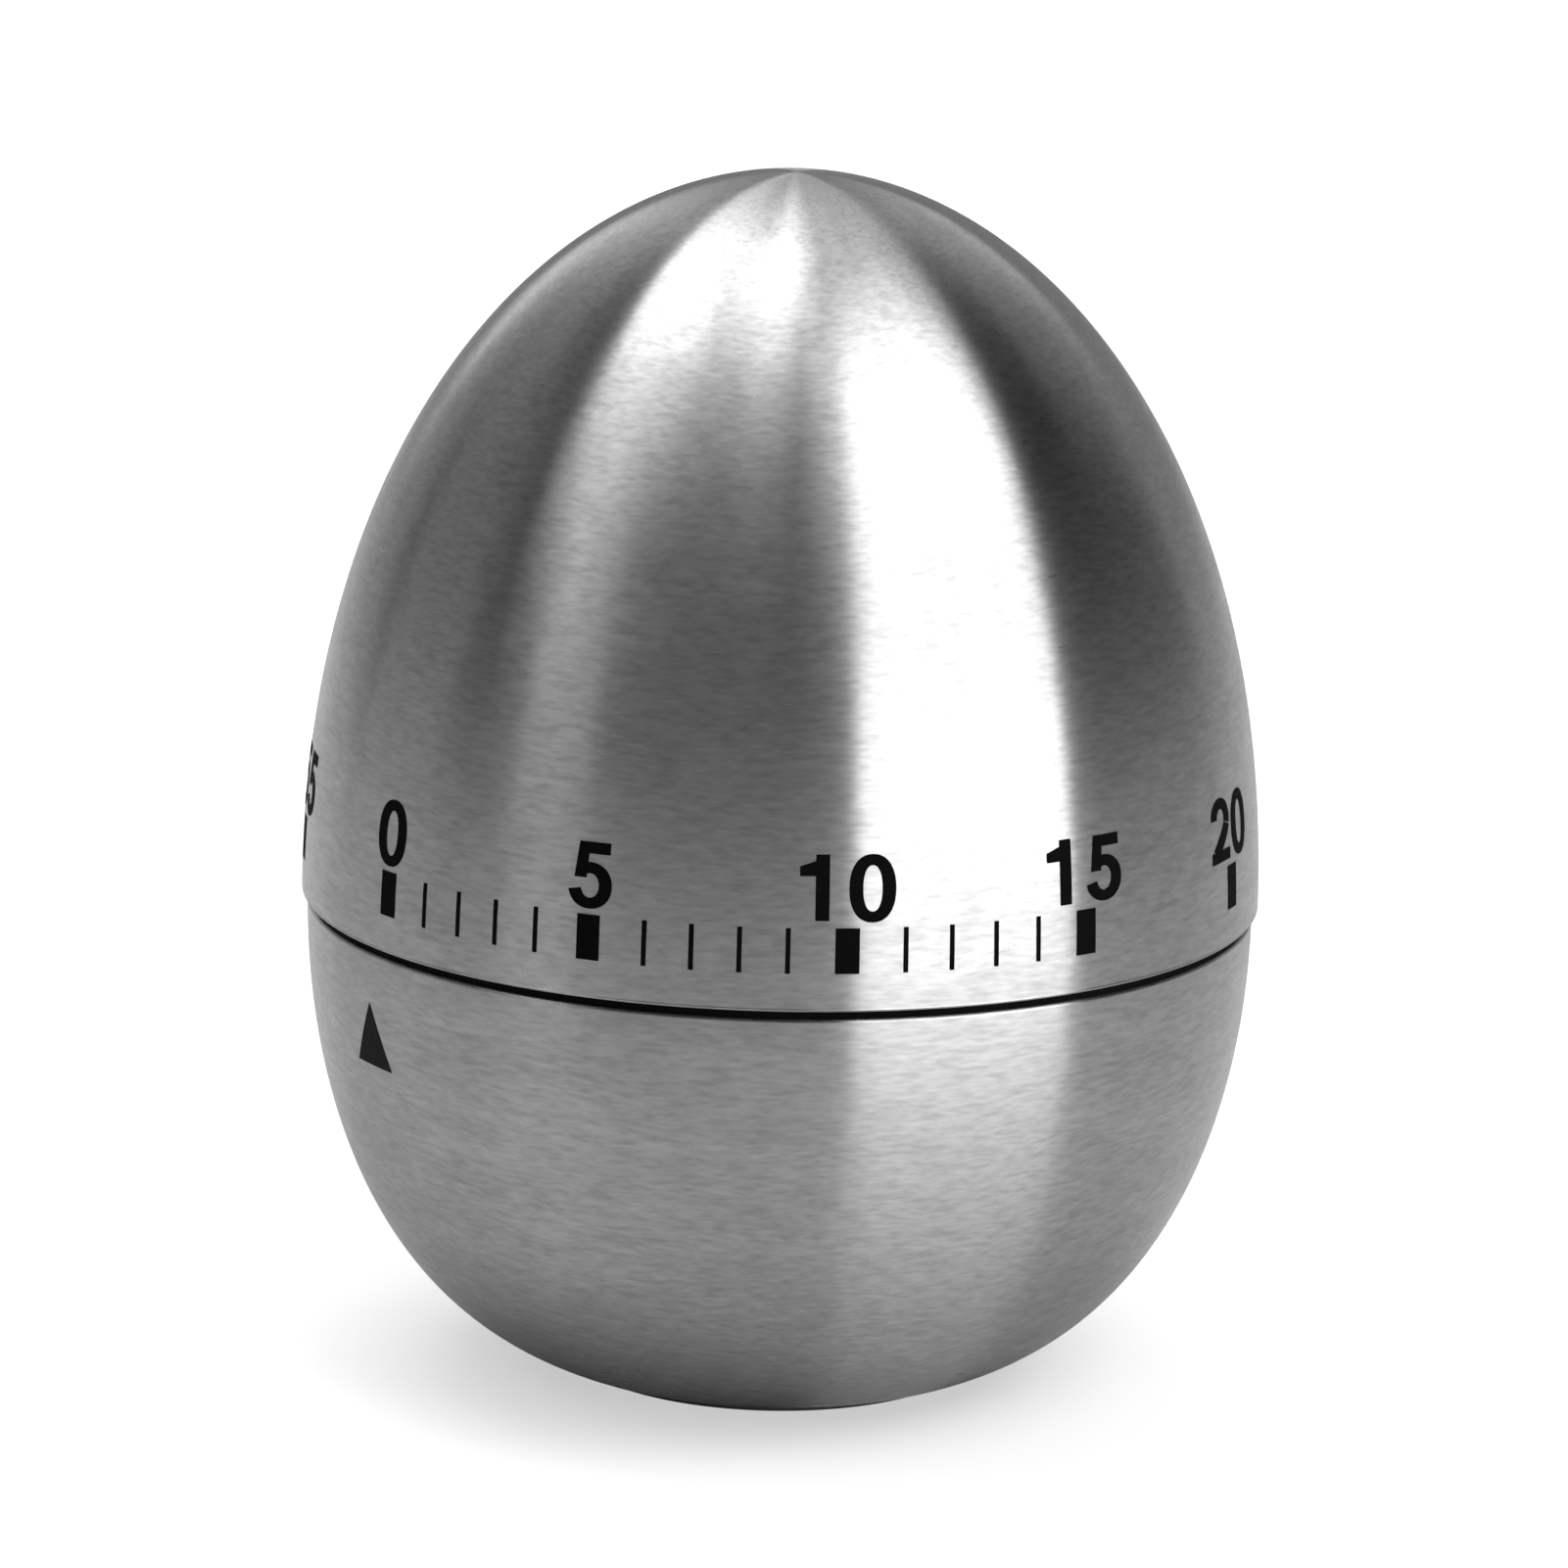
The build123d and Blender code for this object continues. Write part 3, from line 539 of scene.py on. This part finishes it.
def panel_light(name, azimuth, elevation, distance, width, height, radiance):
    """A softbox that faces the egg. Its power follows from its size and how bright its face is."""
    lamp = bpy.data.lights.new(name, "AREA")
    lamp.shape = "RECTANGLE"
    lamp.size = width
    lamp.size_y = height
    lamp.energy = radiance * math.pi * width * height
    holder = bpy.data.objects.new(name, lamp)
    bpy.context.scene.collection.objects.link(holder)
    place = around(azimuth, elevation, distance)
    holder.location = place
    holder.rotation_euler = (Vector((0, 0, LIGHT_AIM)) - place).to_track_quat("-Z", "Y").to_euler()
    holder.visible_camera = False
    return holder


FLOOR_Z = -0.00002  # just under the foot ring, so that the two don't share a face
FLOOR_LIFT = 0.54  # how much paler the floor is in the picture than in the steel's reflections


def floor_material():
    m = Nodes("pale_floor")
    place = m.add("TexCoord").outputs["Object"]
    patches = m.noise(place, 14.0, 3.0)
    m.link(m.shade(patches, 0.3, 0.7, (0.40, 0.40, 0.40), (0.41, 0.41, 0.41)), m.shader.inputs["Base Color"])
    m.shader.inputs["Roughness"].default_value = 0.6
    m.shader.inputs["Specular IOR Level"].default_value = 0.2
    seen = m.add("LightPath").outputs["Is Camera Ray"]
    m.shader.inputs["Emission Color"].default_value = (1, 1, 1, 1)
    m.link(m.math("MULTIPLY", seen, FLOOR_LIFT), m.shader.inputs["Emission Strength"])
    return m.material


def floor():
    steps = 96
    radii = [0.0, 0.1, 0.3, 0.8, 2.0, 6.0]
    points = [(0, 0, FLOOR_Z)]
    faces = []
    for radius in radii[1:]:
        for n in range(steps):
            angle = 2 * math.pi * n / steps
            points.append((radius * math.cos(angle), radius * math.sin(angle), FLOOR_Z))
    for n in range(steps):
        faces.append((0, 1 + n, 1 + (n + 1) % steps))
    for ring in range(len(radii) - 2):
        for n in range(steps):
            a, b = 1 + ring * steps + n, 1 + ring * steps + (n + 1) % steps
            faces.append((a, a + steps, b + steps, b))
    return add_mesh("floor", points, faces, floor_material())


ground = floor()

world = bpy.data.worlds.new("studio")
bpy.context.scene.world = world
world.use_nodes = True
tree = world.node_tree
tree.nodes.clear()
out = tree.nodes.new("ShaderNodeOutputWorld")
mixed = tree.nodes.new("ShaderNodeMixShader")
seen = tree.nodes.new("ShaderNodeBackground")
seen.inputs["Color"].default_value = (0.95, 0.95, 0.95, 1)
dim = tree.nodes.new("ShaderNodeBackground")
dim.inputs["Color"].default_value = (0.01, 0.01, 0.01, 1)
path = tree.nodes.new("ShaderNodeLightPath")
tree.links.new(path.outputs["Is Camera Ray"], mixed.inputs[0])
tree.links.new(dim.outputs[0], mixed.inputs[1])
tree.links.new(seen.outputs[0], mixed.inputs[2])
tree.links.new(mixed.outputs[0], out.inputs["Surface"])

# Softboxes of a plain studio set: a wide key to the right, high boxes behind, and weak fills and rims.
# They stand well clear of the egg, so that none of them meets the floor that a picture shows.
SOFTBOXES = {
    # name: azimuth, elevation, and the degrees across, the degrees up and the radiance of its face
    "key_low": (45, 4, 54, 20, 8.0),
    "key_high": (45, 44, 42, 20, 4.6),
    "key_side": (76, 44, 20, 20, 7.0),
    "right_top": (53, 64, 70, 20, 4.4),
    "behind_top": (175, 64, 22, 20, 2.0),
    "back_top": (-125, 64, 52, 20, 6.0),
    "overhead": (-150, 82, 60, 16, 8.5),
    "overhead_left": (-90, 82, 60, 16, 2.0),
    "left_fill": (-76, 54, 34, 40, 1.5),
    "far_left_fill": (-106, 20, 34, 44, 0.2),
    "left_rim": (-158, 34, 20, 48, 1.0),
    "left_low": (-58, 18, 20, 30, 0.5),
    "right_rim": (160, 38, 26, 40, 0.6),
    "backdrop": (180, 28, 110, 54, 0.25),
}
BOX_DISTANCE = 1.2
NEARLY_OVERHEAD = 80
for box_name, (azimuth, elevation, across, tall, radiance) in SOFTBOXES.items():
    width = 2 * BOX_DISTANCE * math.tan(math.radians(across / 2)) * math.cos(math.radians(elevation))
    height = 2 * BOX_DISTANCE * math.tan(math.radians(tall / 2))
    if elevation > NEARLY_OVERHEAD:
        width = height  # degrees across mean little here, so the box is made square
    panel_light(box_name, azimuth, elevation, BOX_DISTANCE, width, height, radiance)

# A wide panel overhead whitens the floor evenly. The steel doesn't mirror it.
WASH_HEIGHT, WASH_SIZE, WASH_RADIANCE = 2.5, 6.0, 0.95
wash = panel_light("floor_wash", 0, 90, WASH_HEIGHT, WASH_SIZE, WASH_SIZE, WASH_RADIANCE)
wash.visible_glossy = False

# ---- camera ----
camera = bpy.data.cameras.new("camera")
camera_object = bpy.data.objects.new("camera", camera)
bpy.context.scene.collection.objects.link(camera_object)
bpy.context.scene.camera = camera_object
ELEVATION = math.radians(13.3)
DISTANCE = 0.468
PITCH = math.radians(0.12)  # the egg sits a little below the middle of the frame
ROLL = math.radians(1.33)  # and leans a little to the left
camera.sensor_width = 36.0
camera.lens = 171.4
side = math.radians(VIEW_AZIMUTH)
flat = math.cos(ELEVATION)
back = Vector((math.sin(side) * flat, -math.cos(side) * flat, math.sin(ELEVATION)))
aim = Vector((0, 0, AXIS_Z * MM))
forward = -back
right = forward.cross(Vector((0, 0, 1))).normalized()
up = right.cross(forward).normalized()
forward, up = (
    forward * math.cos(PITCH) + up * math.sin(PITCH),
    up * math.cos(PITCH) - forward * math.sin(PITCH),
)
right, up = (
    right * math.cos(ROLL) + up * math.sin(ROLL),
    up * math.cos(ROLL) - right * math.sin(ROLL),
)
turned = Matrix((right, up, -forward)).transposed().to_4x4()
camera_object.matrix_world = Matrix.Translation(aim + back * DISTANCE) @ turned
camera.shift_x = 0.001
camera.clip_start = 0.01
camera.clip_end = 50.0
bpy.context.scene.view_settings.view_transform = "Standard"
